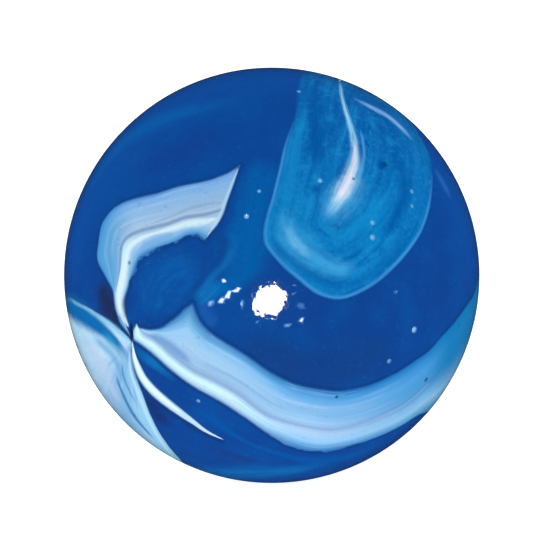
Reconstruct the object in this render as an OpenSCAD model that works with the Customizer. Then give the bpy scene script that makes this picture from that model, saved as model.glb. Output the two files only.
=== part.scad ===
// Playing marble: one ball of fused glass, cobalt with white and turquoise swirls.
// The streams of coloured glass melt into one another while hot, so the marble is
// a single solid and its colours have no edge in the form. What the form does show
// is two shear creases, where the hot glass was cut at each end of the swirl, and
// the bubbles that opened at its surface as it was rolled.
// The origin is the ball's centre and +Z is up. The face with the widest swirls
// looks towards -Y and up, and marks are placed as they are seen from that side.

/* [Ball] */
// Diameter of the ball
ball_d = 16; // [12:0.5:25]
// Angle above the horizon at which the swirled face looks
face_elevation = 55; // [0:5:90]

/* [Shear creases] */
// Length of a crease along the ball's surface
crease_length = 1.1; // [0.6:0.1:2]
// Width of a crease at its middle
crease_width = 0.12; // [0.06:0.02:0.3]
// Depth of a crease at its middle, under the line between its two ends
crease_depth = 0.05; // [0.03:0.01:0.12]

/* [Open bubbles] */
// Width of the largest open bubble
bubble_width = 0.24; // [0.16:0.02:0.4]
// Depth of that bubble, under its rim
bubble_depth = 0.06; // [0.03:0.01:0.12]

/* [Hidden] */
$fn = 96;

ball_r = ball_d / 2;

// How far the front crease lies from the middle of the face, to the right and up,
// in shares of the ball's radius, and how far its top leans to the right
crease_spot = [-0.667, -0.268];
crease_lean = 6;

// Each open bubble: to the right and up of the middle of the face, in shares of the
// ball's radius, then its width as a share of the largest one's
open_bubbles = [
    [0.13, 0.88, 0.7],
    [0.23, 0.45, 0.8],
    [0.39, 0.46, 0.6],
    [0.54, 0.53, 1],
    [0.67, 0.40, 0.8],
    [0.67, 0.33, 0.7],
    [0.48, 0.25, 0.8],
    [0.48, 0.18, 0.9],
    [-0.06, 0.40, 0.6],
    [-0.12, 0.28, 0.8],
    [-0.68, 0.06, 0.7],
    [0.59, -0.08, 0.7],
    [0.68, -0.26, 1],
    [0.56, -0.41, 0.8],
    [0.74, -0.50, 0.9],
    [0.31, -0.58, 0.6],
    [-0.35, -0.60, 0.7],
    [-0.66, -0.67, 0.6],
];

// Radius of the circle that has this half chord and this height over it
function arc_radius(half_chord, height) =
    (half_chord * half_chord + height * height) / (2 * height);

// Distance from a circle's centre to a chord of it
function chord_distance(radius, half_chord) =
    sqrt(radius * radius - half_chord * half_chord);

// Seen from the swirled face, +X is to the right, +Y is up and +Z comes to the viewer
module seen_from_face() {
    rotate([90 - face_elevation, 0, 0]) children();
}

// Swings what stands on the +Z axis up and then to the right, to a spot on the face
module at_spot(spot) {
    up = asin(spot[1]);
    right = asin(spot[0] / cos(up));
    rotate([-up, right, 0]) children();
}

// A wheel with a sharp rim that rolls along Y, standing on the ball at the end of the
// Z axis. It bites deepest at its middle and runs out to nothing at both its ends.
module crease_cutter() {
    half_length = crease_length / 2;
    wheel_r = arc_radius(half_length, crease_depth);
    wheel_height = chord_distance(ball_r, half_length) + chord_distance(wheel_r, half_length);
    bite = ball_r + wheel_r - wheel_height;
    rim = [
        [wheel_r, 0],
        [wheel_r - 2 * bite, crease_width],
        [wheel_r - 2 * bite, -crease_width],
    ];
    translate([0, 0, wheel_height])
        rotate([0, 90, 0])
            rotate_extrude()
                polygon(rim);
}

// A ball-shaped bite at the end of the Z axis, as wide as the bubble at its rim
module bubble_cutter(share) {
    half_width = share * bubble_width / 2;
    depth = share * bubble_depth;
    bite_r = arc_radius(half_width, depth);
    translate([0, 0, chord_distance(ball_r, half_width) + bite_r - depth])
        sphere(r = bite_r);
}

// The swirl starts in one crease and ends in another, straight through the ball from it
module shear_creases() {
    at_spot(crease_spot)
        for (turn = [0, 180])
            rotate([turn, 0, -crease_lean])
                crease_cutter();
}

module bubbles() {
    for (bubble = open_bubbles)
        at_spot(bubble)
            bubble_cutter(bubble[2]);
}

module marble() {
    color("mediumblue")
        difference() {
            sphere(r = ball_r);
            seen_from_face() {
                shear_creases();
                bubbles();
            }
        }
}

marble();
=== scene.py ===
import math

import bpy
import numpy as np
from mathutils import Euler, Matrix, Vector


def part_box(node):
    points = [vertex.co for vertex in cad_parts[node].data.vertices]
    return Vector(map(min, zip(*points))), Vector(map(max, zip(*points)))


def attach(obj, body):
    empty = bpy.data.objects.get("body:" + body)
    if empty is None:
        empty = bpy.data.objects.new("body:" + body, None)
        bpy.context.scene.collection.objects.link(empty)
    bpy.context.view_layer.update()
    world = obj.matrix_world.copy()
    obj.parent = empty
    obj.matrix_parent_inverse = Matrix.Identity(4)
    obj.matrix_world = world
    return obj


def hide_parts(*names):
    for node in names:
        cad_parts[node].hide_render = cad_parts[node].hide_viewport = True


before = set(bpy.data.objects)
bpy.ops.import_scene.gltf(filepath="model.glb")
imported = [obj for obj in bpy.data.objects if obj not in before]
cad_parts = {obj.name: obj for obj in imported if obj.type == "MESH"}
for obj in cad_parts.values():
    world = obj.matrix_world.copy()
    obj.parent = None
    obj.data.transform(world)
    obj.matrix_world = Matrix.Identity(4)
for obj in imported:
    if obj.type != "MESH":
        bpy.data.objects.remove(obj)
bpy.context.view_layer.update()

# Camera
# It looks down on the swirled face of the marble from far off, so the ball shows
# as an even circle that fills three quarters of the frame.
face_elevation = math.radians(55)
camera_distance = 0.6
camera_lens = 1020
frame_px = 550
ball_centre_px = (271.74, 275.27)

face_turn = Matrix.Rotation(math.pi / 2 - face_elevation, 3, "X")
towards_camera = face_turn @ Vector((0, 0, 1))
bpy.ops.object.camera_add(
    location=towards_camera * camera_distance,
    rotation=face_turn.to_euler(),
)
camera = bpy.context.object
camera.data.lens = camera_lens
camera.data.clip_start = 0.01
camera.data.shift_x = (frame_px / 2 - ball_centre_px[0]) / frame_px
camera.data.shift_y = (ball_centre_px[1] - frame_px / 2) / frame_px
bpy.context.scene.camera = camera
bpy.context.scene.view_settings.view_transform = "Standard"

# Bench top
# A pale sheet on a light table, which the marble stands on. It is lit from below as
# well as from the room, so the shadow under the ball stays faint.
floor_width = 4
floor_paint = (0.9, 0.9, 0.9, 1)
floor_glow = 0.66

ball_r = (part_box("marble")[1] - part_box("marble")[0]).z / 2

bpy.ops.mesh.primitive_plane_add(size=floor_width, location=(0, 0, -ball_r))
bench_top = bpy.context.object
bench_top.name = "bench_top"
bpy.ops.object.transform_apply(location=True, rotation=False, scale=False)
bench_paper = bpy.data.materials.new("bench_paper")
bench_paper.use_nodes = True
paper = bench_paper.node_tree.nodes["Principled BSDF"]
paper.inputs["Base Color"].default_value = floor_paint
paper.inputs["Roughness"].default_value = 0.9
paper.inputs["Specular IOR Level"].default_value = 0
paper.inputs["Emission Color"].default_value = (1, 1, 1, 1)
paper.inputs["Emission Strength"].default_value = floor_glow
bench_top.data.materials.append(bench_paper)
bench_top.visible_glossy = False

# Room light
# White walls light the marble evenly from all round. The glass hardly mirrors them,
# so that its edge goes dark and only the lamp stands in it.
room_light = 0.985
room_in_gloss = 0.014


# Colours and sockets of shader nodes, and arithmetic on them
def light_share(share):
    """How much light a share of a screen's brightness stands for."""
    return ((share + 0.055) / 1.055) ** 2.4 if share > 0.04 else share / 12.92


def paint(colour):
    """A colour as the shader takes it, from the way that it is written for screens."""
    shares = [int(colour[place:place + 2], 16) / 255 for place in (1, 3, 5)]
    return (*[light_share(share) for share in shares], 1)


class Shade:
    """One socket of a shader node. Arithmetic on it adds Math nodes."""

    tree = None

    def __init__(self, socket):
        self.socket = socket

    @classmethod
    def add(cls, kind, settings=None, values=None, output=0):
        """Adds a node, makes its settings, fills its sockets and gives one output of it."""
        node = cls.tree.nodes.new("ShaderNode" + kind)
        for name, value in (settings or {}).items():
            if name == "stops":
                elements = node.color_ramp.elements
                elements[0].position, elements[0].color = value[0][0], paint(value[0][1])
                elements[1].position, elements[1].color = value[-1][0], paint(value[-1][1])
                for place, colour in value[1:-1]:
                    elements.new(place).color = paint(colour)
            else:
                setattr(node, name, value)
        for name, value in (values or {}).items():
            if isinstance(value, Shade):
                cls.tree.links.new(value.socket, node.inputs[name])
            else:
                node.inputs[name].default_value = paint(value) if isinstance(value, str) else value
        return cls(node.outputs[output])

    def maths(self, operation, other=None):
        values = {0: self} if other is None else {0: self, 1: other}
        return Shade.add("Math", {"operation": operation}, values)

    def __add__(self, other):
        return self.maths("ADD", other)

    def __sub__(self, other):
        return self.maths("SUBTRACT", other)

    def __rsub__(self, other):
        return Shade.add("Math", {"operation": "SUBTRACT"}, {0: other, 1: self})

    def __mul__(self, other):
        return self.maths("MULTIPLY", other)

    __radd__ = __add__
    __rmul__ = __mul__

    def __abs__(self):
        return self.maths("ABSOLUTE")

    def rise(self, low, high):
        """Goes from 0 at low to 1 at high, which may also be the lower of the two."""
        values = {"Value": self, "From Min": low, "From Max": high}
        return Shade.add("MapRange", {"interpolation_type": "SMOOTHSTEP"}, values)

    def parts(self):
        """The three numbers of a vector."""
        first = Shade.add("SeparateColor", None, {0: self})
        return [Shade(socket) for socket in first.socket.node.outputs]


room = bpy.data.worlds.new("room")
bpy.context.scene.world = room
room.use_nodes = True
Shade.tree = room.node_tree
backdrop = Shade.tree.nodes["Background"]
backdrop.inputs["Color"].default_value = (1, 1, 1, 1)
mirrored = Shade.add("LightPath", output="Is Glossy Ray")
brightness = {"Value": mirrored, "To Min": room_light, "To Max": room_in_gloss}
dimming = Shade.add("MapRange", None, brightness)
Shade.tree.links.new(dimming.socket, backdrop.inputs["Strength"])

# Lamp
# A round soft lamp a little below the camera, which makes the one highlight.
lamp_distance = 0.25
lamp_width = 0.0765
lamp_power = 0.44
lamp_colour = (1, 0.96, 0.92)
lamp_below_camera = math.radians(13.9)
lamp_turn = math.radians(-1.2)

lamp_direction = Euler((math.pi / 2 - face_elevation + lamp_below_camera, 0, lamp_turn))
bpy.ops.object.light_add(
    type="AREA",
    location=lamp_direction.to_matrix() @ Vector((0, 0, lamp_distance)),
    rotation=lamp_direction,
)
lamp = bpy.context.object
lamp.data.shape = "DISK"
lamp.data.size = lamp_width
lamp.data.energy = lamp_power
lamp.data.color = lamp_colour
lamp.visible_camera = False
lamp.visible_diffuse = False

# Glass marble
# One ball of fused glass: cobalt, white and turquoise streams were run together hot,
# cut off with shears at both ends of the swirl and rolled round. The streams meet in
# the two shear creases, and bubbles opened at its surface as it cooled.
MM = 0.001
ball_levels = 6
crease_length = 1.1 * MM
crease_width = 0.12 * MM
crease_depth = 0.05 * MM
crease_spot = (-0.667, -0.268)
crease_lean = math.radians(6)
bubble_width = 0.24 * MM
bubble_depth = 0.06 * MM

# Each open bubble: to the right and up of the middle of the face in shares of the
# ball's radius, its width as a share of the largest one's, and how strongly a pale glint
# of the lamp is painted in it, or how much darker it is where that is negative
open_bubbles = [
    (0.13, 0.88, 0.7, 0.7),
    (0.23, 0.45, 0.8, 0.8),
    (0.39, 0.46, 0.6, -0.6),
    (0.54, 0.53, 1, -0.7),
    (0.67, 0.40, 0.8, 0.55),
    (0.67, 0.33, 0.7, 0.5),
    (0.48, 0.25, 0.8, 0.75),
    (0.48, 0.18, 0.9, 0.75),
    (-0.06, 0.40, 0.6, 0.8),
    (-0.12, 0.28, 0.8, 1),
    (-0.68, 0.06, 0.7, -0.6),
    (0.59, -0.08, 0.7, 0.2),
    (0.68, -0.26, 1, 1),
    (0.56, -0.41, 0.8, 0.55),
    (0.74, -0.50, 0.9, -0.8),
    (0.31, -0.58, 0.6, -0.8),
    (-0.35, -0.60, 0.7, 0.6),
    (-0.66, -0.67, 0.6, -0.4),
]


def select_only(piece):
    bpy.ops.object.select_all(action="DESELECT")
    piece.select_set(True)
    bpy.context.view_layer.objects.active = piece


def round_off(piece):
    """Draws every vertex out to the ball."""
    cast = piece.modifiers.new("round", "CAST")
    cast.factor = 1
    cast.use_radius_as_size = False
    cast.size = ball_r
    select_only(piece)
    bpy.ops.object.modifier_apply(modifier=cast.name)


def vertex_array(piece):
    places = np.empty(len(piece.data.vertices) * 3)
    piece.data.vertices.foreach_get("co", places)
    return places.reshape(-1, 3)


def face_array(piece):
    middles = np.empty(len(piece.data.polygons) * 3)
    piece.data.polygons.foreach_get("center", middles)
    return middles.reshape(-1, 3)


def divide(piece, chosen):
    """Divides each chosen face into four, and draws their corners out to the ball."""
    select_only(piece)
    bpy.ops.object.mode_set(mode="EDIT")
    bpy.ops.mesh.select_mode(type="FACE")
    bpy.ops.mesh.select_all(action="DESELECT")
    bpy.ops.object.mode_set(mode="OBJECT")
    piece.data.polygons.foreach_set("select", chosen)
    bpy.ops.object.mode_set(mode="EDIT")
    bpy.ops.mesh.subdivide(number_cuts=1)
    bpy.ops.object.mode_set(mode="OBJECT")
    round_off(piece)


# On the swirled face, a place is given as it is seen from the camera: to the right,
# up and towards the viewer.
face_axes = np.array(face_turn)


def seen_from_face(places):
    return places @ face_axes


def spot_direction(spot):
    right, up = spot[0], spot[1]
    return np.array([right, up, math.sqrt(1 - right * right - up * up)])


def arc_radius(half_chord, height):
    return (half_chord ** 2 + height ** 2) / (2 * height)


def chord_distance(radius, half_chord):
    return math.sqrt(radius ** 2 - half_chord ** 2)


# The axes of the crease in the swirled face: across it, along it and out of it.
# The second crease lies straight through the ball from the first.
crease_up = math.asin(crease_spot[1])
crease_right = math.asin(crease_spot[0] / math.cos(crease_up))
crease_axes = (
    Matrix.Rotation(crease_right, 3, "Y")
    @ Matrix.Rotation(-crease_up, 3, "X")
    @ Matrix.Rotation(-crease_lean, 3, "Z")
)
crease_across, crease_along, crease_out = np.array(crease_axes).T

bpy.ops.object.select_all(action="DESELECT")
bpy.ops.mesh.primitive_cube_add(size=2 * ball_r)
marble = bpy.context.object
marble.name = "marble_glass"
smoothing = marble.modifiers.new("smoothing", "SUBSURF")
smoothing.levels = ball_levels
smoothing.render_levels = ball_levels
bpy.ops.object.modifier_apply(modifier=smoothing.name)
round_off(marble)

# The swirled face gets finer faces, and the marks pressed into it finer ones still.
swirl_reach = -0.1
mark_margin = 0.25 * MM
mark_rounds = 2
divide(marble, seen_from_face(face_array(marble))[:, 2] > swirl_reach * ball_r)
for mark_round in range(mark_rounds):
    middles = seen_from_face(face_array(marble))
    middles *= ball_r / np.linalg.norm(middles, axis=1, keepdims=True)
    near_mark = np.zeros(len(middles), bool)
    for bubble in open_bubbles:
        reach = bubble[2] * bubble_width / 2 + mark_margin / (1 + mark_round)
        near_mark |= np.linalg.norm(middles - ball_r * spot_direction(bubble), axis=1) < reach
    across = middles @ crease_across
    along = middles @ crease_along
    near_crease = np.abs(across) < crease_width + mark_margin / (1 + mark_round)
    near_crease &= np.abs(along) < crease_length / 2 + mark_margin
    near_mark |= near_crease
    divide(marble, near_mark)

# Bubbles are ball-shaped bites, and a crease is the mark of a sharp-rimmed wheel.
places = vertex_array(marble)
outward = seen_from_face(places)
outward /= np.linalg.norm(outward, axis=1, keepdims=True)
depth_at = np.zeros(len(places))
for bubble in open_bubbles:
    half_width = bubble[2] * bubble_width / 2
    depth = bubble[2] * bubble_depth
    bite_r = arc_radius(half_width, depth)
    bite_centre = spot_direction(bubble) * (chord_distance(ball_r, half_width) + bite_r - depth)
    lean_in = outward @ bite_centre
    inside = lean_in ** 2 - bite_centre @ bite_centre + bite_r ** 2
    floor_at = lean_in - np.sqrt(np.maximum(inside, 0))
    cut = (inside > 0) & (lean_in > 0)
    depth_at[cut] = np.maximum(depth_at[cut], ball_r - floor_at[cut])
half_length = crease_length / 2
wheel_r = arc_radius(half_length, crease_depth)
wheel_height = chord_distance(ball_r, half_length) + chord_distance(wheel_r, half_length)
bite = ball_r + wheel_r - wheel_height
across = ball_r * np.abs(outward @ crease_across)
along = ball_r * np.abs(outward @ crease_along)
height = ball_r * np.abs(outward @ crease_out)
rim = wheel_r - 2 * bite * across / crease_width
depth_at = np.maximum(depth_at, rim - np.hypot(along, height - wheel_height))
places *= ((ball_r - depth_at) / ball_r)[:, None]
marble.data.vertices.foreach_set("co", places.ravel())
marble.data.update()
select_only(marble)
bpy.ops.object.shade_smooth()

# The skin of the ball is laid out flat as the six sides of the cube that it came from.
sides_across = 3
sides_down = 2
side_margin = 0.012
corner_of = np.empty(len(marble.data.loops), int)
marble.data.loops.foreach_get("vertex_index", corner_of)
loops_in = np.empty(len(marble.data.polygons), int)
marble.data.polygons.foreach_get("loop_total", loops_in)
middles = face_array(marble)
main_axis = np.argmax(np.abs(middles), axis=1)
main_sign = np.sign(middles[np.arange(len(middles)), main_axis])
loop_axis = np.repeat(main_axis, loops_in)
loop_sign = np.repeat(main_sign, loops_in)
corners = places[corner_of]
rows = np.arange(len(corners))
depth_of = corners[rows, loop_axis] * loop_sign
first = corners[rows, (loop_axis + 1) % 3] * loop_sign
second = corners[rows, (loop_axis + 2) % 3]
side_uv = np.stack([np.arctan2(first, depth_of), np.arctan2(second, depth_of)], axis=1)
side_uv = np.clip(side_uv / (math.pi / 4), -1, 1) / 2 + 0.5
side_uv = side_margin + (1 - 2 * side_margin) * side_uv
side_cell = np.stack([loop_axis, (loop_sign > 0).astype(int)], axis=1)
skin_uv = (side_cell + side_uv) / np.array([sides_across, sides_down])
skin = marble.data.uv_layers.new(name="OFBake")
skin.data.foreach_set("uv", skin_uv.ravel())

# Every stream of glass is drawn by points on the ball in millimetres, to the right and
# up of the middle of the swirled face. A third number, towards the viewer, is given
# where a stream has gone round the back.
samples_a_span = 12
search_batches = 24
ball_r_mm = ball_r / MM
back_crease = (5.34, 2.14, -5.56)


def on_ball(point):
    right, up = point[0], point[1]
    towards = point[2] if len(point) == 3 else math.sqrt(ball_r_mm ** 2 - right ** 2 - up ** 2)
    direction = np.array([right, up, towards])
    return direction / np.linalg.norm(direction)


def drawn(points):
    """A smooth line over the ball through these points."""
    knots = [on_ball(point) for point in points]
    knots = [2 * knots[0] - knots[1]] + knots + [2 * knots[-1] - knots[-2]]
    steps = (np.arange(samples_a_span) / samples_a_span)[:, None]
    line = []
    for before, start, end, after in zip(knots, knots[1:], knots[2:], knots[3:]):
        span = np.linalg.norm(end - start)
        leave = (end - before) * span / (span + np.linalg.norm(start - before))
        arrive = (after - start) * span / (span + np.linalg.norm(after - end))
        line.append(start * (1 + 2 * steps) * (1 - steps) ** 2)
        line[-1] += end * (3 - 2 * steps) * steps ** 2
        line[-1] += leave * steps * (1 - steps) ** 2 + arrive * (steps - 1) * steps ** 2
    line = np.concatenate(line + [knots[-2][None]])
    return line / np.linalg.norm(line, axis=1, keepdims=True)


def joined(lines):
    """One line from lines that follow on, without the points that they share."""
    line = np.concatenate(lines)
    moves = np.linalg.norm(np.diff(line, axis=0), axis=1) > 1e-9
    return line[np.concatenate([[True], moves])]


def measured(line, closed=False):
    """For each vertex, its distance to the line in millimetres, which is positive on the
    line's left, how far along the line it is, and whether it lies past an end."""
    if closed:
        line = np.concatenate([line, line[:1]])
    starts = line[:-1]
    runs = np.diff(line, axis=0)
    lengths = np.linalg.norm(runs, axis=1)
    reached = np.concatenate([[0], np.cumsum(lengths)])
    leftward = np.cross(starts, runs / lengths[:, None])
    # The vertices are searched a batch at a time, so that the tables stay small
    batches = np.array_split(outward, search_batches)
    nearest = np.concatenate([np.argmax(batch @ starts.T, axis=1) for batch in batches])
    before = (nearest - 1) % len(runs) if closed else np.maximum(nearest - 1, 0)
    distance = np.full(len(outward), np.inf)
    side = np.zeros(len(outward))
    along = np.zeros(len(outward))
    for span in (before, nearest):
        offset = outward - starts[span]
        share = np.einsum("ij,ij->i", offset, runs[span]) / lengths[span] ** 2
        past_end = ((share < 0) & (span == 0)) | ((share > 1) & (span == len(runs) - 1))
        share = np.clip(share, 0, 1)
        gap = offset - share[:, None] * runs[span]
        away = np.linalg.norm(gap, axis=1)
        side += np.einsum("ij,ij->i", gap, leftward[span])
        closer = away < distance
        distance[closer] = away[closer]
        along[closer] = (reached[span] + share * lengths[span])[closer]
    return np.where(side < 0, -distance, distance) * ball_r_mm, along * ball_r_mm, past_end


def keep(name, *values):
    """Keeps up to three values of each vertex as a named attribute of the glass."""
    triples = np.zeros((len(outward), 3), np.float32)
    for place, value in enumerate(values):
        triples[:, place] = value
    attribute = marble.data.attributes.new(name, "FLOAT_VECTOR", "POINT")
    attribute.data.foreach_set("vector", triples.ravel())


def keep_stream(name, left_edge, right_edge, vein, cap=()):
    """Keeps the distance inside a broad stream's outline, the place across it, which is 0
    at its left edge, 0.5 on its vein and 1 at its right edge, and the distance along it."""
    outline = [right_edge] + ([drawn(cap)] if cap else []) + [left_edge[::-1]]
    inside = measured(joined(outline)[:-1], closed=True)[0]
    to_left = np.abs(measured(left_edge)[0])
    to_right = np.abs(measured(right_edge)[0])
    to_vein, along = measured(drawn(vein))[:2]
    from_left = 0.5 * to_left / np.maximum(to_left + np.abs(to_vein), 1e-6)
    from_right = 0.5 * to_right / np.maximum(to_right + np.abs(to_vein), 1e-6)
    keep(name, inside, np.where(to_vein > 0, from_left, 1 - from_right), along)


# The least half width of a thin stream in millimetres, and the furthest that a place
# across it is kept as, in half widths
thinnest = 0.01
far_off = 6


def keep_thread(name, points, widths, fade):
    """Keeps the place across a thin stream in half widths, how strongly it reaches there,
    and the distance along it. Its widths are given at even steps along it, and it fades
    in and out over the fade at its ends. The glass far off it is left alone."""
    line = drawn(points)
    across, along, past_end = measured(line)
    length = np.linalg.norm(np.diff(line, axis=0), axis=1).sum() * ball_r_mm
    half_width = np.interp(along / length, np.linspace(0, 1, len(widths)), widths) / 2
    half_widths = np.clip(across / np.maximum(half_width, thinnest), -far_off, far_off)
    reach = np.clip((far_off - 1 - np.abs(half_widths)) / 2, 0, 1)
    reach[past_end & (np.abs(half_widths) > 2)] = 0
    if fade:
        reach *= np.clip(along / fade, 0, 1) * np.clip((length - along) / fade, 0, 1)
    keep(name, half_widths, reach, along)


# Layers of colour, and what makes them uneven
def over(under, mask, upper):
    """Lays one colour over another where the mask is 1. A Mix node's sockets for colours
    share their names with its others, so they are given by their number."""
    return Shade.add("Mix", {"data_type": "RGBA"}, {0: mask, 6: under, 7: upper}, output=2)


def banded(place, stops):
    """The colours of a stream's bands, by the place across it."""
    return Shade.add("ValToRGB", {"stops": stops}, {0: place})


def vector_maths(operation, *values, output=0):
    return Shade.add("VectorMath", {"operation": operation}, dict(enumerate(values)), output)


def kept(name):
    return Shade.add("Attribute", {"attribute_name": name}).parts()


def uneven(vector, scale, detail):
    """Values round 0.5 that change over about 1 / scale."""
    values = {"Vector": vector, "Scale": scale, "Detail": detail, "Roughness": 0.6}
    return Shade.add("TexNoise", None, values)


def streaks(across, along, seed):
    """Uneven lines that run along a stream. They are 1 apart in across and in along."""
    return uneven(Shade.add("CombineXYZ", None, {0: across, 1: along, 2: seed}), 1, 3)


def specks(scale, detail, seed):
    """Uneven spots in the glass, which lie in other places for each seed."""
    values = {"Vector": face_place, "Location": (seed, seed, seed)}
    return uneven(Shade.add("Mapping", None, values), scale, detail)


def laid(colour, name, points, widths, glass, strength=1, soft=0.5, ragged=0, fade=0, combed=0):
    """Lays a thin stream of coloured glass over the colour. Soft is how far its edges
    fade to either side and ragged how far they waver, both in half widths, and combed
    is how far lines along it thin it out."""
    keep_thread(name, points, widths, fade)
    across, reach, along = kept(name)
    offset = abs(across)
    if ragged:
        offset = offset + (waver - 0.5) * ragged
    mask = offset.rise(1 + soft, 1 - soft) * reach * strength
    if combed:
        mask = mask * (1 - streaks(across * 2.6, along * 0.5, 4.4).rise(0.58, 0.42) * combed)
    return over(colour, mask, glass)


glass_ior = 1.5
glass_finish = bpy.data.materials.new("swirled_glass")
glass_finish.use_nodes = True
Shade.tree = glass_finish.node_tree
surface = Shade.tree.nodes["Principled BSDF"]
surface.inputs["IOR"].default_value = glass_ior

# The place on the ball in millimetres, to the right, up and towards the viewer
face_place = Shade.add("Mapping", None, {
    "Vector": Shade.add("TexCoord", output="Object"),
    "Rotation": (face_elevation - math.pi / 2, 0, 0),
    "Scale": (1 / MM, 1 / MM, 1 / MM),
})
face_right, face_up, face_towards = face_place.parts()
waver = specks(2.2, 3, 0)
grain = specks(6, 3, 11)
clouds = specks(1.2, 2, 43)

# Cobalt ground, stirred unevenly, with the paler and darker streaks that run through it
# The ground is darker towards the bottom of the face
colour = over("#0d4290", face_up.rise(-2, 5), "#0a4798")
colour = over(colour, specks(0.5, 2, 5).rise(0.4, 0.65) * 0.5, "#07509f")
# Brighter near the rim of the face on its upper half
colour = over(colour, face_towards.rise(4.4, 2.4) * face_up.rise(-2, 2) * 0.8, "#0950a6")
# A paler band along the upper left edge of the face
colour = laid(
    colour, "top_left_band",
    [(-7.2, 2.6), (-6.6, 4), (-5.6, 5.2), (-4.6, 5.8), (-3.5, 6.2), (-2.2, 6.5), (-0.8, 6.9)],
    [0.5, 0.8, 1, 1.1, 0.9, 0.8, 0.6], "#0660b0", strength=0.75, soft=1, ragged=0.8, fade=2.5,
)
colour = laid(
    colour, "top_left_shade",
    [(-5.6, 3.6), (-4.6, 4.2), (-3.4, 4.7), (-2.2, 5.2), (-1.4, 5.4)],
    [0.6, 1, 1.2, 1.2, 0.8], "#113e91", strength=0.7, soft=1, ragged=0.6, fade=1.5,
)
colour = laid(
    colour, "right_column",
    [(4.6, 0.2), (5.1, -0.8), (5.2, -1.8), (5.0, -2.7)],
    [0.6, 0.7, 0.8, 0.6], "#094d9c", strength=0.7, soft=0.9, ragged=0.6, fade=1,
)
colour = laid(
    colour, "under_shade",
    [(-1.5, -2.15), (-1.1, -2.4), (0, -3), (1, -3.4), (2.3, -3.5), (3.6, -3.2), (4.8, -2.6)],
    [0.8, 1.2, 1.5, 1.7, 1.8, 1.6, 1.2], "#123e82", strength=0.75, soft=0.9, ragged=0.5, fade=1.2,
)
colour = laid(
    colour, "left_shade",
    [(-6.7, -0.3), (-6.4, -0.75), (-6.2, -1.25), (-5.95, -1.7), (-5.62, -2.15)],
    [0.5, 0.9, 1.4, 1.3, 0.8], "#1e2c58", strength=1, soft=1, ragged=0.3, fade=0.5,
)
colour = laid(
    colour, "bright_fold",
    [
        (-0.1, 4.5), (-0.5, 3.5), (-0.7, 2.6), (-0.9, 1.6), (-1.2, 0.7), (-1.7, 0), (-2.3, -0.5),
        (-2.8, -0.95),
    ],
    [0.9, 1.2, 1.3, 1.5, 1.8, 1.6, 1.1, 0.5],
    "#0160ad", strength=0.9, soft=0.5, ragged=0.8, fade=0.8, combed=0.25,
)
colour = laid(
    colour, "eye",
    [(-4.75, -1.6), (-4.5, -0.8), (-4.1, -0.1), (-3.4, 0.3), (-2.7, 0.6)],
    [0.9, 1.8, 2.2, 1.9, 1], "#095aa9", strength=0.95, soft=0.7, ragged=0.5, fade=0.7, combed=0.5,
)
colour = laid(
    colour, "eye_rim",
    [(-3.2, -1.15), (-2.75, -0.6), (-2.3, -0.1), (-1.95, 0.5), (-1.75, 1.1), (-2.1, 1.5)],
    [0.1, 0.5, 0.6, 0.7, 0.6, 0.3], "#0b4691", strength=0.8, soft=0.6, ragged=0.3,
)
colour = laid(
    colour, "fold_edge",
    [(-3.0, -1.05), (-2.6, -0.5), (-2.2, 0), (-1.75, 0.45), (-1.5, 1), (-1.4, 1.6)],
    [0.2, 0.25, 0.25, 0.25, 0.3, 0.3], "#0f6cb8", strength=0.7, soft=1, ragged=0.8, fade=0.8,
)
colour = laid(
    colour, "fold_gleam",
    [(-2.95, -1.05), (-2.6, -0.85), (-2.2, -0.5), (-1.8, -0.25)],
    [0.5, 0.55, 0.5, 0.4], "#0f79c2", strength=0.9, soft=1, ragged=0.8, fade=0.4, combed=0.4,
)
colour = laid(
    colour, "fold_foot",
    [(-2.65, -0.95), (-2.5, -1.5), (-2.1, -1.95)],
    [0.5, 0.65, 0.3], "#1859ac", strength=0.85, soft=1, ragged=0.6, fade=0.2,
)
colour = laid(
    colour, "low_gleam",
    [(-5.3, -2.58), (-5.14, -2.85), (-4.94, -3.05), (-4.6, -3.28), (-4.15, -3.64), (-3.6, -4.08)],
    [0.12, 0.38, 0.46, 0.34, 0.26, 0.16], "#0e6ab0", strength=1, soft=0.8, ragged=0.3, fade=1,
)
colour = laid(
    colour, "low_shade",
    [(-5, -4.4), (-4.6, -4.95), (-4.3, -5.4), (-3.9, -5.9)],
    [0.3, 0.7, 0.9, 0.6], "#152f6c", strength=0.9, soft=0.9, ragged=0.3, fade=0.6,
)
colour = laid(
    colour, "low_streak",
    [
        (-3.2, -4.9), (-2.4, -5.4), (-1.6, -6), (-0.8, -6.45), (0.2, -6.8), (1.5, -7.1),
        (3, -6.95), (4.2, -6.4),
    ],
    [0.2, 0.35, 0.2, 0.2, 0.35, 0.6, 0.5, 0.3],
    "#0452a2", strength=0.85, soft=0.9, ragged=0.6, fade=1,
)
colour = laid(
    colour, "low_purple",
    [(-2.6, -6.5), (-1.8, -6.8), (-1, -7.05), (-0.2, -7.2)],
    [0.4, 0.5, 0.5, 0.4], "#163a7c", strength=0.75, soft=1, ragged=0.6, fade=0.9,
)
colour = laid(
    colour, "bottom_gleam",
    [
        (-5, -6.1, -1.2), (-3.6, -7, -0.9), (-2.2, -7.5, 1), (-1, -7.6), (0.2, -7.55), (1.3, -7.4),
        (2.3, -7.15),
    ],
    [0.3, 0.6, 1, 1.3, 1.2, 0.8, 0.4],
    "#0b68b0", strength=0.95, soft=1, ragged=0.6, fade=1.5, combed=0.3,
)
colour = laid(
    colour, "right_gleam",
    [(6.2, 4.15), (6.5, 3.65), (6.75, 3.2), (6.9, 2.9)],
    [0.25, 0.4, 0.4, 0.25], "#2768ba", strength=0.8, soft=1, ragged=0.8, fade=0.4,
)

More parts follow.
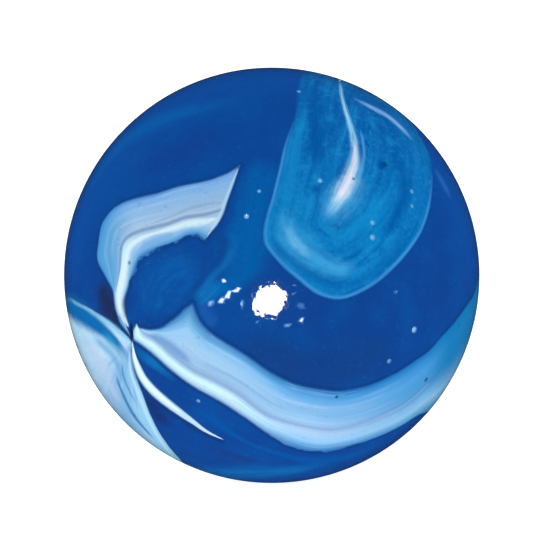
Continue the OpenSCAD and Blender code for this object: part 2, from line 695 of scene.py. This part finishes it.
# Turquoise lobe, laid down in rounds
lobe_rim = [
    (1.3, 7.85), (0.98, 6.97), (0.9, 6), (0.54, 5), (0.32, 4), (0.08, 3), (-0.15, 2.2),
    (-0.25, 1.6), (-0.18, 1.17), (0.05, 0.85), (0.5, 0.35), (1.09, -0.14), (1.6, -0.55),
    (2.1, -0.78), (2.6, -0.84), (3.1, -0.71), (3.87, -0.3), (4.58, 0.3), (5.21, 1), (5.7, 1.77),
    (5.98, 2.58), (6.1, 3.3), (6.14, 3.95), (6.05, 4.55), (5.8, 5.15), (5.55, 5.6),
]
lobe_outline = (
    [back_crease, (4.4, 3.6, -5.6), (3, 5.6, -4.9), (1.9, 7.2, -2.9)]
    + lobe_rim
    + [(5.3, 5.99, 0), (5.3, 5.3, -2.8), (5.35, 4.1, -4.4), (5.4, 3, -5.2), back_crease]
)
keep("lobe", *measured(joined([drawn(lobe_outline)])[:-1], closed=True)[:2])
inside, run = kept("lobe")[:2]
rounds = streaks(inside * 3.2, run * 0.25, 2.3)
lobe_glass = over("#0764b0", face_up.rise(5.8, 2.2), "#087cc2")
lobe_glass = over(lobe_glass, rounds.rise(0.5, 0.68) * 0.6, "#168ed0")
lobe_glass = over(lobe_glass, rounds.rise(0.52, 0.34) * 0.7, "#0056a4")
lobe_glass = over(lobe_glass, clouds.rise(0.48, 0.7) * 0.4, "#1590d2")
lobe_glass = over(lobe_glass, clouds.rise(0.5, 0.3) * 0.4, "#0564b0")
lobe_glass = over(lobe_glass, face_right.rise(4, 5.8) * 0.5, "#066ab4")
lobe_glass = over(lobe_glass, grain.rise(0.5, 0.75) * 0.3, "#2a9ada")
lobe_glass = over(lobe_glass, grain.rise(0.5, 0.25) * 0.3, "#0462b0")
colour = over(colour, (inside + (waver - 0.5) * 0.16).rise(-0.08, 0.12), lobe_glass)
colour = laid(
    colour, "lobe_dark_left",
    [(1.6, 7.3), (1.62, 6.4), (1.66, 5.4), (1.72, 4.4), (1.8, 3.7)],
    [0.4, 0.45, 0.5, 0.5, 0.4], "#0055a2", strength=0.9, soft=0.9, ragged=0.6, fade=1, combed=0.3,
)
colour = laid(
    colour, "lobe_pale_left",
    [(1.2, 6.6), (1.1, 5.6), (0.95, 4.6), (0.8, 3.6), (0.65, 2.8), (0.5, 2.1)],
    [0.3, 0.35, 0.4, 0.5, 0.6, 0.5],
    "#0f86ca", strength=0.8, soft=1, ragged=0.9, fade=1.5, combed=0.6,
)
colour = laid(
    colour, "lobe_heart",
    [(2.5, 1.9), (3.1, 1.75), (3.7, 2.1), (4, 2.8), (4.05, 3.5)],
    [0.9, 1.1, 1.1, 1, 0.6], "#1190d2", strength=0.6, soft=1.1, ragged=1.2, fade=0.9, combed=0.2,
)
colour = laid(
    colour, "lobe_pale_low",
    [
        (0.5, 2.6), (0.56, 2), (0.72, 1.5), (1.05, 1.08), (1.5, 0.72), (2, 0.42), (2.6, 0.25),
        (3.3, 0.35),
    ],
    [0.3, 0.55, 0.8, 0.85, 0.7, 0.6, 0.5, 0.4],
    "#3ea8e2", strength=0.85, soft=1.1, ragged=1.7, fade=0.7, combed=0.25,
)
colour = laid(
    colour, "lobe_white",
    [(0.56, 1.95), (0.66, 1.65), (0.85, 1.32), (1.15, 0.98), (1.55, 0.68)],
    [0.2, 0.3, 0.34, 0.3, 0.2], "#86ccf4", strength=0.5, soft=1.1, ragged=2.2, fade=0.4, combed=0.3,
)
colour = laid(
    colour, "lobe_dark_low",
    [
        (0.1, 1.5), (0.3, 1), (0.8, 0.5), (1.4, 0), (2, -0.35), (2.7, -0.45), (3.4, -0.2),
        (4.2, 0.45), (4.75, 1.05), (5.2, 1.8),
    ],
    [0.2, 0.25, 0.25, 0.3, 0.3, 0.3, 0.3, 0.4, 0.4, 0.2],
    "#0566b0", strength=0.7, soft=1, ragged=0.8, fade=0.8,
)
colour = laid(
    colour, "lobe_dark_ring",
    [(4.5, 5), (4.85, 4.4), (5.05, 3.7), (5, 3), (4.8, 2.4), (4.4, 1.75), (3.9, 1.3)],
    [0.5, 0.6, 0.6, 0.5, 0.45, 0.4, 0.3],
    "#0059a6", strength=0.95, soft=1, ragged=0.9, fade=1, combed=0.3,
)
colour = laid(
    colour, "lobe_dark_spot",
    [(4.0, 4.4), (4.2, 4.2), (4.4, 4)],
    [0.3, 0.4, 0.3], "#004c9a", strength=0.9, soft=1, ragged=1.2, fade=0.2,
)
colour = laid(
    colour, "lobe_dark_speck",
    [(1.5, 3.15), (1.7, 3.3), (1.9, 3.4)],
    [0.2, 0.3, 0.2], "#0650a0", strength=0.85, soft=1, ragged=1.2, fade=0.2,
)
colour = laid(
    colour, "lobe_line",
    lobe_rim[2:23],
    [
        0.06, 0.07, 0.09, 0.1, 0.11, 0.12, 0.12, 0.13, 0.13, 0.12, 0.12, 0.12, 0.12, 0.12, 0.11,
        0.1, 0.08,
    ],
    "#42a2e8", strength=0.75, soft=1, ragged=0.6, fade=2, combed=0.3,
)
colour = laid(
    colour, "limb_streak",
    [
        (3.11, 6.81), (3.49, 6.61), (3.98, 6.36), (4.42, 6.12), (4.8, 5.81), (5.13, 5.48),
        (5.4, 5.15),
    ],
    [0.16, 0.28, 0.36, 0.38, 0.36, 0.3, 0.2],
    "#86befe", strength=1, soft=0.9, ragged=0.4, fade=0.7, combed=0.3,
)

# White streak that sank into the lobe
colour = laid(
    colour, "streak_glow",
    [(3.3, 3.9), (3.0, 3.3), (2.6, 2.8), (2.2, 2.4), (1.9, 2.2)],
    [0.5, 0.8, 0.9, 0.8, 0.6], "#64bcf0", strength=0.6, soft=1.1, ragged=1.6, fade=0.5, combed=0.4,
)
colour = laid(
    colour, "white_streak",
    [
        (2.6, 7.45), (2.68, 6.9), (2.8, 6.4), (2.95, 5.9), (3.08, 5.4), (3.16, 4.98), (3.19, 4.6),
        (3.15, 4.2), (3.05, 3.85), (2.85, 3.45), (2.6, 3.0), (2.35, 2.6), (2.07, 2.25),
    ],
    [0.08, 0.1, 0.12, 0.14, 0.17, 0.19, 0.22, 0.27, 0.38, 0.54, 0.56, 0.42, 0.2],
    "#98d6f8", strength=1, soft=0.9, ragged=1, fade=0.8, combed=0.5,
)
colour = laid(
    colour, "streak_core",
    [(3.14, 5.2), (3.18, 4.6), (3.1, 4.1), (2.9, 3.6), (2.65, 3.1), (2.4, 2.75)],
    [0.08, 0.13, 0.2, 0.34, 0.36, 0.2],
    "#f2eefc", strength=0.95, soft=1, ragged=1.2, fade=0.5, combed=0.4,
)
colour = laid(
    colour, "streak_side",
    [(3.38, 5.6), (3.5, 4.98), (3.52, 4.55), (3.46, 4.22), (3.35, 3.84), (3.3, 3.4)],
    [0.08, 0.1, 0.12, 0.12, 0.14, 0.1], "#4ea8ec", strength=0.65, soft=1, ragged=0.6, fade=0.4,
)
colour = laid(
    colour, "back_streak",
    [(2.6, 7.45), (2.7, 7.5, 0), (3.2, 6.9, -2.5), (4.2, 5.2, -4.3), (5, 3.3, -5.3), back_crease],
    [0.06, 0.15, 0.3, 0.3, 0.2, 0.05], "#a4defc", strength=0.95, soft=0.6, ragged=0.5,
)

# Pale corner, where the swirl runs off round the left of the ball
corner_right = [
    (-5.33, -2.5), (-5.31, -3), (-5.2, -3.8), (-4.97, -4.45), (-4.7, -5.2), (-4.4, -5.85),
    (-4, -6.5), (-3.5, -7.1), (-2.5, -6.8, -3.4), (-0.5, -5, -6.2), (2, -2.6, -7.3),
    (4, -0.3, -6.9), (5, 1.3, -6.1), back_crease,
]
corner_upper = [
    (-5.33, -2.5), (-5.7, -2.17), (-6, -1.93), (-6.3, -1.7), (-7, -1.26), (-7.46, -1.02),
    (-7.75, -0.88), (-7.9, -1, 0), (-7, -0.6, -3.8), (-5, 0.4, -6.2), (-2, 1.5, -7.6),
    (1.5, 2.2, -7.5), (4, 2.4, -6.5), back_crease,
]
corner_vein = [
    (-5.33, -2.5), (-5.8, -3.2), (-6.3, -4), (-6.5, -4.4), (-6.4, -4.4, -2.2), (-4.6, -3.2, -5.7),
    (-1.5, -0.8, -7.8), (2, 0.5, -7.7), (4.4, 1.6, -6.4), back_crease,
]
keep_stream("corner", drawn(corner_right), drawn(corner_upper), corner_vein)
inside, across, run = kept("corner")
lines = streaks(across * 14, run * 0.3, 5.9)
corner_bands = [
    (0.0, "#94ccee"), (0.12, "#92c8ec"), (0.28, "#80b6e0"), (0.45, "#98c0e6"), (0.62, "#b0d4f0"),
    (1.0, "#b4e2fc"),
]
corner_glass = banded(across + (lines - 0.5) * 0.25, corner_bands)
line_strength = run.rise(0.7, 2.2)
corner_glass = over(corner_glass, lines.rise(0.52, 0.75) * line_strength * 0.4, "#c8e6fa")
corner_glass = over(corner_glass, lines.rise(0.46, 0.3) * line_strength * 0.5, "#6c9fd0")
corner_shade = over("#11306a", face_up.rise(-2.7, -2.1), "#202a58")
colour = over(colour, inside.rise(-0.16, -0.04) * 0.6, corner_shade)
colour = over(colour, (inside + (waver - 0.5) * 0.08).rise(-0.05, 0.07), corner_glass)
colour = laid(
    colour, "corner_stripe",
    [
        (-7.72, -1.0, -1.8), (-7.84, -1.17), (-7.5, -1.36), (-7.2, -1.55), (-6.74, -1.87),
        (-6.26, -2.25), (-5.86, -2.64), (-5.6, -2.98), (-5.45, -3.35),
    ],
    [0.6, 0.62, 0.72, 0.85, 1, 0.95, 0.75, 0.4, 0.2],
    "#0a6ab1", strength=1, soft=0.6, ragged=0.4, fade=0.9,
)
colour = laid(
    colour, "corner_teal",
    [(-6.5, -2.2), (-6.15, -2.55), (-5.85, -2.9), (-5.65, -3.3)],
    [0.35, 0.45, 0.4, 0.2], "#3298c4", strength=0.7, soft=1, ragged=0.5, fade=0.4,
)
colour = laid(
    colour, "corner_under_stripe",
    [(-6.9, -2.3), (-6.4, -2.75), (-6, -3.2), (-5.75, -3.8), (-5.55, -4.4)],
    [0.3, 0.4, 0.4, 0.3, 0.2], "#6aa6d4", strength=0.75, soft=1, ragged=0.6, fade=0.6,
)
colour = laid(
    colour, "corner_top_line",
    [(-7.6, -1.02), (-7, -1.33), (-6.3, -1.77), (-6, -2), (-5.7, -2.25), (-5.4, -2.5)],
    [0.14, 0.12, 0.12, 0.2, 0.24, 0.12], "#74bce8", strength=0.7, soft=1, ragged=0.5,
)
colour = laid(
    colour, "corner_white",
    [(-7.35, -2.2), (-7, -2.7), (-6.65, -3.2), (-6.35, -3.8), (-6.1, -4.4), (-5.8, -5)],
    [0.3, 0.6, 0.8, 0.7, 0.5, 0.3], "#b6cae4", strength=0.6, soft=1, ragged=0.9, fade=0.5,
)
colour = laid(
    colour, "corner_right_line",
    [
        (-5.4, -2.8), (-5.42, -3.3), (-5.35, -3.8), (-5.15, -4.4), (-4.88, -5.1), (-4.6, -5.75),
        (-4.2, -6.45), (-3.8, -6.95),
    ],
    [0.05, 0.15, 0.2, 0.2, 0.2, 0.2, 0.2, 0.1], "#b4dcfb", strength=0.8, soft=0.6, ragged=0.5,
)
colour = laid(
    colour, "corner_streak",
    [
        (-5.95, -3.75), (-5.86, -4.15), (-5.7, -4.55), (-5.48, -5.02), (-5.24, -5.44),
        (-4.92, -5.84), (-4.5, -6.3),
    ],
    [0.08, 0.15, 0.2, 0.26, 0.28, 0.22, 0.14],
    "#3a7cb4", strength=0.95, soft=0.9, ragged=0.7, fade=0.4,
)
colour = laid(
    colour, "corner_streak_two",
    [(-5.72, -3.3), (-5.68, -3.8), (-5.5, -4.3), (-5.2, -4.9)],
    [0.08, 0.12, 0.12, 0.08], "#4688c2", strength=0.8, soft=1, ragged=0.7, fade=0.3,
)
# Painted shade: the pale corner greyed in a thin line along the edge of the ball, where its rim
# goes dark
colour = laid(
    colour, "corner_limb",
    [(-7.5, -2.4), (-7.2, -3.2), (-6.7, -4.1), (-6, -5.1), (-5.2, -5.95)],
    [0.1, 0.25, 0.3, 0.3, 0.1], "#93add0", strength=0.2, soft=0.9, ragged=0.8,
)

# Broad white ribbon that sweeps under the highlight and round the right of the ball
ribbon_upper_start = [
    (-5.15, -1.85), (-5.05, -2.0), (-4.75, -2.06), (-4.5, -2.05), (-4.25, -2), (-4, -1.85),
    (-3.55, -1.5), (-3.3, -1.25), (-3, -1.05),
]
ribbon_upper_sweep = [
    (-3, -1.05), (-2.8, -1.6), (-2.6, -1.9), (-2.35, -2.15), (-2, -2.4), (-1, -3), (0, -3.7),
    (0.5, -3.95), (1, -4.15), (2, -4.35), (2.5, -4.4), (3.5, -4.25), (4.5, -3.85), (5.5, -3.25),
    (6, -2.9), (6.5, -2.35), (7, -1.8), (7.45, -1.2), (7.7, -0.85), (7.98, 0.5, 0),
    (7.6, 1.3, -2.1), (6.8, 1.9, -3.75), (5.9, 2.2, -4.9), back_crease,
]
ribbon_lower = [
    (-5.15, -1.85), (-5.3, -2.1), (-5.32, -2.4), (-5.25, -2.5), (-5, -2.65), (-4.5, -3.05),
    (-4, -3.5), (-3.5, -3.9), (-3, -4.25), (-2, -4.8), (-1, -5.45), (0, -6.15), (0.5, -6.45),
    (1, -6.65), (1.5, -6.75), (2, -6.75), (3, -6.55), (4, -6.22), (5, -5.76), (5.65, -5.36),
    (6.3, -4.7, -1.2), (6.75, -3.6, -2.2), (6.75, -2.2, -3.7), (6.2, -0.5, -5.05), (5.6, 1, -5.65),
    back_crease,
]
ribbon_vein = [
    (-5.15, -1.85), (-4.85, -2.2), (-4.45, -2.4), (-3.8, -3), (-3, -3.6), (-2.25, -3.95),
    (-1.5, -4.35), (-1, -4.7), (-0.5, -5.1), (0, -5.4), (1, -5.7), (2, -5.88), (2.5, -5.88),
    (3.5, -5.65), (4.5, -5.25), (5, -5), (6, -4.15), (6.8, -3.2), (7.45, -2.3, 1.8),
    (7.7, -1.3, -1.6), (7.2, 0.2, -3.4), (6.3, 1.5, -4.7), back_crease,
]
ribbon_upper = joined([drawn(ribbon_upper_start), drawn(ribbon_upper_sweep)])
keep_stream("ribbon", ribbon_upper, drawn(ribbon_lower), ribbon_vein)
inside, across, run = kept("ribbon")
lines = streaks(across * 16, run * 0.22, 3.7)
broad_lines = streaks(across * 6, run * 0.15, 7.3)
smeared = across + (lines - 0.5) * 0.09
ribbon_left = [
    (0.0, "#2a6fb4"), (0.05, "#5497ce"), (0.1, "#78b8e8"), (0.18, "#94c8f0"), (0.3, "#a4cbee"),
    (0.44, "#92bbe0"), (0.5, "#8fb1d8"), (0.56, "#98bde0"), (0.66, "#c8eeff"), (0.78, "#ccf2fc"),
    (0.88, "#b6def4"), (1.0, "#3a6aa4"),
]
ribbon_middle = [
    (0.0, "#1c5a9e"), (0.05, "#3a86c6"), (0.11, "#5aa4e0"), (0.2, "#78b4e6"), (0.32, "#82b9e4"),
    (0.42, "#9dc8ee"), (0.5, "#92b4dc"), (0.6, "#aacdf0"), (0.68, "#a0c8f0"), (0.78, "#8cc4ee"),
    (0.88, "#4c94d2"), (1.0, "#1258a4"),
]
ribbon_right = [
    (0.0, "#1a70b6"), (0.06, "#2a82c6"), (0.22, "#4698d6"), (0.34, "#4092ce"), (0.43, "#4092cc"),
    (0.5, "#468bc2"), (0.62, "#6aaada"), (0.78, "#8cc0e6"), (1.0, "#3f8cc2"),
]
ribbon_glass = banded(smeared, ribbon_left)
ribbon_glass = over(ribbon_glass, face_right.rise(-2.2, 1.6), banded(smeared, ribbon_middle))
ribbon_glass = over(ribbon_glass, face_right.rise(0.8, 6.4), banded(smeared, ribbon_right))
turquoise = face_right.rise(5.7, 6.9) * across.rise(0.9, 0.5)
ribbon_glass = over(ribbon_glass, turquoise * 0.88, "#0878b6")
line_strength = face_right.rise(6.5, 0) + face_towards.rise(2, -1.5)
ribbon_glass = over(ribbon_glass, lines.rise(0.52, 0.72) * line_strength * 0.35, "#b4dafa")
ribbon_glass = over(ribbon_glass, lines.rise(0.48, 0.28) * line_strength * 0.4, "#6a9fd6")
greyed = broad_lines.rise(0.5, 0.72) * across.rise(0.1, 0.3) * face_right.rise(5.5, 3)
ribbon_glass = over(ribbon_glass, greyed * 0.25, "#a4badf")
colour = over(colour, inside.rise(-0.22, -0.04) * 0.6, "#0c3676")
frayed = face_right.rise(-0.5, 1.5) * face_right.rise(4, 2.8) * across.rise(0.7, 0.9)
feather = (waver - 0.5) * (0.06 + frayed * 0.4)
colour = over(colour, (inside + feather).rise(-0.05, 0.08), ribbon_glass)
colour = laid(
    colour, "ribbon_vein_line",
    ribbon_vein[1:17],
    [0.03, 0.1, 0.12, 0.13, 0.12, 0.12, 0.1, 0.1, 0.05],
    "#8aaad4", strength=0.8, soft=0.8, ragged=0.4,
)
colour = laid(
    colour, "ribbon_root_shade",
    [(-4.8, -2.3), (-4.4, -2.38), (-4, -2.6), (-3.5, -2.98), (-3, -3.4)],
    [0.1, 0.3, 0.36, 0.3, 0.16], "#6a9ad0", strength=0.85, soft=1, ragged=0.5, fade=0.4,
)

# White flag that folds up and over from the crease
flag_outer = [
    (-5.4, -2.3), (-5.8, -1.8), (-5.95, -1.3), (-6.05, -0.65), (-6.3, -0.15), (-6.6, 0.4),
    (-6.68, 0.7), (-6.65, 1.1), (-6.5, 1.95), (-6.25, 2.35), (-6, 2.6), (-5.5, 2.85),
    (-4.5, 3.1), (-3.5, 3.4), (-2.5, 3.6), (-1.9, 3.8), (-1.5, 4), (-1.2, 4.2),
]
flag_inner = [
    (-5.4, -2.3), (-5.55, -1.95), (-5.7, -1.4), (-5.7, -1.05), (-5.5, -0.55), (-5.25, 0.1),
    (-5.15, 0.35), (-5, 0.6), (-4.55, 0.9), (-3.65, 1.25), (-3.15, 1.5), (-2.8, 1.5), (-2.55, 1.3),
]
flag_end = [
    (-2.55, 1.3), (-2.2, 1.8), (-2, 2.05), (-1.8, 2.6), (-1.55, 3.25), (-1.3, 3.95), (-1.2, 4.2),
]
flag_vein = [
    (-5.4, -2.3), (-5.7, -1.7), (-5.85, -1.2), (-5.95, -0.6), (-5.85, 0), (-5.8, 0.35),
    (-5.75, 1.05), (-5.65, 1.3), (-5.45, 1.5), (-5, 1.7), (-4, 1.95), (-3.3, 2.2), (-2.6, 2.3),
    (-2.2, 2.4), (-1.9, 2.5),
]
keep_stream("flag", drawn(flag_outer), drawn(flag_inner), flag_vein, cap=flag_end)
inside, across, run = kept("flag")
lines = streaks(across * 14, run * 0.22, 8.1)
smeared = across + (lines - 0.5) * 0.09
flag_upright = [
    (0.0, "#3a84c8"), (0.08, "#50a0dc"), (0.25, "#5aa3d6"), (0.42, "#70acda"), (0.47, "#8cbdea"),
    (0.5, "#6e98b8"), (0.56, "#c4eefc"), (0.66, "#c6e8f6"), (0.76, "#a8d0f2"), (0.86, "#84bae6"),
    (0.94, "#4a8fcb"), (1.0, "#2f78ba"),
]
flag_level = [
    (0.0, "#4a86cc"), (0.07, "#7cb2ec"), (0.24, "#90bce6"), (0.36, "#9ac0e6"), (0.45, "#acc9e8"),
    (0.5, "#9ab5d4"), (0.56, "#a6c6e4"), (0.64, "#bcdcf6"), (0.74, "#a4ccf0"), (0.84, "#84bcea"),
    (0.93, "#509ad8"), (1.0, "#1464b0"),
]
past_fold = (face_right + face_up * 0.35).rise(-5.8, -4.3)
flag_glass = over(banded(smeared, flag_upright), past_fold, banded(smeared, flag_level))
flag_glass = over(flag_glass, lines.rise(0.52, 0.72) * 0.3, "#c0defa")
flag_glass = over(flag_glass, lines.rise(0.48, 0.28) * 0.35, "#84acd8")
flag_shade = over("#1e2858", face_up.rise(-1.3, 0), "#0c3878")
colour = over(colour, inside.rise(-0.22, -0.04) * 0.5, flag_shade)
frayed = face_up.rise(-1, 0.2) * across.rise(0.6, 0.9)
feather = (waver - 0.5) * (0.06 + frayed * 0.45)
colour = over(colour, (inside + feather).rise(-0.05, 0.08), flag_glass)
colour = laid(
    colour, "flag_white",
    [
        (-5.5, -1.9), (-5.78, -1.3), (-5.82, -0.8), (-5.7, -0.3), (-5.6, 0.3), (-5.5, 0.9),
        (-5.35, 1.15), (-4.9, 1.45), (-4, 1.72), (-3.2, 1.95), (-2.5, 2.05), (-2.2, 2.15),
    ],
    [0.1, 0.34, 0.42, 0.38, 0.28, 0.22, 0.16, 0.1, 0.18, 0.24, 0.28, 0.1],
    "#daf4fc", strength=0.85, soft=0.9, ragged=0.4,
)
colour = laid(
    colour, "flag_bend_shade",
    [(-5.1, 0.8), (-4.85, 1.1), (-4.5, 1.3), (-4, 1.48), (-3.6, 1.6)],
    [0.1, 0.3, 0.32, 0.24, 0.1], "#74ace0", strength=0.7, soft=1, ragged=0.5, fade=0.3,
)
colour = laid(
    colour, "flag_vein_line",
    flag_vein[3:],
    [0.04, 0.1, 0.13, 0.14, 0.14, 0.14, 0.14, 0.13, 0.08],
    "#7e9fc4", strength=0.85, soft=0.7, ragged=0.3,
)
colour = laid(
    colour, "flag_second_vein",
    [(-4.6, 1.95), (-3.8, 2.25), (-3.1, 2.55), (-2.5, 2.7), (-2, 2.75)],
    [0.03, 0.1, 0.14, 0.14, 0.08], "#8fa9c8", strength=0.6, soft=0.8, ragged=0.4,
)
colour = laid(
    colour, "flag_end_line",
    [(-2.45, 1.5), (-2.15, 1.95), (-1.92, 2.35), (-1.75, 2.85), (-1.5, 3.5), (-1.3, 4)],
    [0.05, 0.14, 0.14, 0.12, 0.1, 0.04], "#b8e2ff", strength=0.7, soft=0.7, ragged=0.3,
)

# White sliver below the crease, and the dark line where the shears cut
colour = laid(
    colour, "sliver_shade",
    [(-5.3, -2.9), (-5.1, -3.7), (-4.6, -4.5), (-3.7, -5.2), (-2.8, -5.85), (-1.9, -6.35)],
    [0.3, 0.6, 0.75, 0.7, 0.55, 0.2], "#12356f", strength=0.75, soft=0.6, ragged=0.2,
)
colour = laid(
    colour, "sliver",
    [
        (-5.32, -2.5), (-5.3, -2.75), (-5.25, -3.1), (-5.12, -3.5), (-4.94, -3.9), (-4.72, -4.2),
        (-4.46, -4.48), (-4.18, -4.72), (-3.85, -4.98), (-3.45, -5.28), (-3, -5.6), (-2.55, -5.93),
        (-1.85, -6.28),
    ],
    [0.04, 0.14, 0.3, 0.4, 0.46, 0.48, 0.46, 0.42, 0.36, 0.27, 0.2, 0.13, 0.03],
    "#b9dcf6", strength=1, soft=0.4, ragged=0.2,
)
colour = laid(
    colour, "sliver_white",
    [(-5.28, -2.8), (-5.18, -3.3), (-4.95, -3.85), (-4.65, -4.25), (-4.1, -4.75), (-3.5, -5.22)],
    [0.06, 0.2, 0.26, 0.26, 0.2, 0.05], "#e2fafe", strength=0.9, soft=0.8, ragged=0.4,
)
colour = laid(
    colour, "shear_line",
    [(-5.36, -1.8), (-5.37, -2.15), (-5.36, -2.45), (-5.28, -2.62)],
    [0.05, 0.13, 0.14, 0.05], "#0b2448", strength=0.9, soft=0.7, ragged=0.2, fade=0.1,
)

# Bubbles that opened: most get a painted pale glint of the lamp in their hollows, and a few are
# dark
bubble_near = np.full(len(outward), -1.0)
bubble_tone = np.zeros(len(outward))
for right, up, share, tone in open_bubbles:
    away = np.linalg.norm(outward - spot_direction((right, up)), axis=1) * ball_r
    near = 1 - away / (share * bubble_width / 2)
    bubble_tone[near > bubble_near] = tone
    bubble_near = np.maximum(bubble_near, near)
keep("bubbles", bubble_near, np.maximum(bubble_tone, 0), np.maximum(-bubble_tone, 0))
near, pale, dark = kept("bubbles")
# Painted highlight: a pale glint of the lamp in each open bubble
colour = over(colour, near.rise(-0.3, 0.6) * pale, "#8fd0ff")
colour = over(colour, near.rise(-0.3, 0.6) * dark, "#0a3a78")

colour = over(colour, grain.rise(0.55, 0.8) * 0.12, "#3f86cc")
colour = over(colour, grain.rise(0.45, 0.2) * 0.15, "#0a3070")

# Polish, with shallow waves over all of it, small chips, and scuffs beside the highlight that are
# painted as pale glints of the lamp
glint_raggedness = 0.26
through_ball = 1000
ripple_height = 2.5
chip_depth = 4
bump_unit = 0.000006
polish_roughness = 0.05

# Each scuff, painted as a pale glint of the lamp: to the right and up in millimetres, length,
# width, how far it leans over to the left in degrees, and how strongly it shows
scuff_glint_spots = [
    (-1.81, -0.21, 0.18, 0.15, 0, 0.9),
    (-1.36, -0.56, 0.36, 0.13, 12, 1),
    (-1.66, -0.75, 0.36, 0.14, 48, 1),
    (-1.89, -0.96, 0.26, 0.17, 50, 1),
    (-2.3, -1.07, 0.26, 0.16, 20, 0.5),
    (-1.12, -1.1, 0.3, 0.14, 85, 0.55),
    (1.12, -1.71, 0.2, 0.17, 20, 0.85),
    (0.64, -1.88, 0.3, 0.12, 8, 0.45),
    (1.1, -1.18, 0.3, 0.2, -30, 0.25),
    (0.85, -0.38, 0.16, 0.09, 0, 0.3),
    (0.85, -0.68, 0.18, 0.09, 0, 0.3),
    (-0.55, -1.75, 0.18, 0.12, 60, 0.3),
]
noise = {"Vector": face_place, "Scale": 4, "Detail": 2}
jitter = Shade.add("TexNoise", None, noise, output="Color")
sway = glint_raggedness / 2
jitter = vector_maths("MULTIPLY_ADD", jitter, (2 * sway, 2 * sway, 0), (-sway, -sway, 0))
shaken = vector_maths("ADD", face_place, jitter)


def scuff_glint_mark(right, up, length, width, lean, strength):
    """A ragged oval of painted glint that shows most in its middle."""
    on_scuff_glint = Shade.add("Mapping", {"vector_type": "TEXTURE"}, {
        "Vector": shaken,
        "Location": (right, up, 0),
        "Rotation": (0, 0, math.radians(lean)),
        "Scale": (length / 2, width / 2, through_ball),
    })
    return vector_maths("LENGTH", on_scuff_glint, output="Value").rise(1.7, 0.2) * strength


scuff_glints = scuff_glint_mark(*scuff_glint_spots[0])
for scuff_glint_spot in scuff_glint_spots[1:]:
    scuff_glints = scuff_glints.maths("MAXIMUM", scuff_glint_mark(*scuff_glint_spot))
scuff_glints = scuff_glints * face_towards.rise(0, 1)
# Painted highlight: the scuffs glint pale blue at their edges and near white in their middles
colour = over(colour, scuff_glints.rise(0, 0.5) * 0.75, "#6aa6ec")
colour = over(colour, scuff_glints.rise(0.35, 0.8), "#ecf8ff")
chipped = specks(2.6, 3, 31).rise(0.69, 0.73) * face_up.rise(-3.2, -2.4)
ripples = specks(1.6, 2, 23)
relief = ripples * ripple_height - chipped * chip_depth
polish = Shade.add("Bump", None, {"Strength": 1, "Distance": bump_unit, "Height": relief})
Shade.tree.links.new(colour.socket, surface.inputs["Base Color"])
Shade.tree.links.new(polish.socket, surface.inputs["Normal"])
surface.inputs["Roughness"].default_value = polish_roughness

marble.data.materials.append(glass_finish)
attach(marble, "root")
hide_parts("marble")
